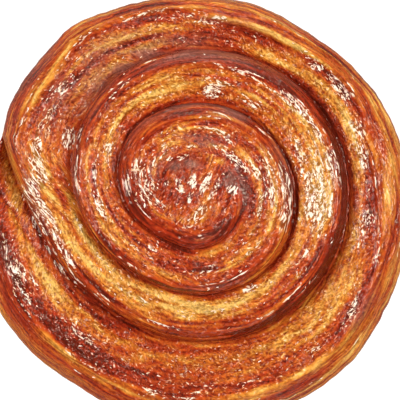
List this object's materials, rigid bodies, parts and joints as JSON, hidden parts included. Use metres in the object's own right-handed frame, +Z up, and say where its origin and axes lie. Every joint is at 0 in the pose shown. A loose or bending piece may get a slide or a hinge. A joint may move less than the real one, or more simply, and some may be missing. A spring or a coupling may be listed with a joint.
{
  "type": "danish pastry",
  "caption": "Round coiled pastry: a strand of laminated dough wound flat, its turns rising to a domed knot, with a glossy glazed crust.",
  "frame": {"origin": "middle of the flat base, under the centre of the pastry's extent seen from above", "axes": "+Z up through the knot; +X to the right and +Y to the top of the picture, which looks straight down"},
  "size_m": [0.1102, 0.11, 0.0287],
  "materials": {
    "danish_swirl": "golden brown baked crust under a glossy sugar glaze"
  },
  "bodies": {
    "root": {"danish_swirl": "danish_swirl"}
  },
  "joints": []
}
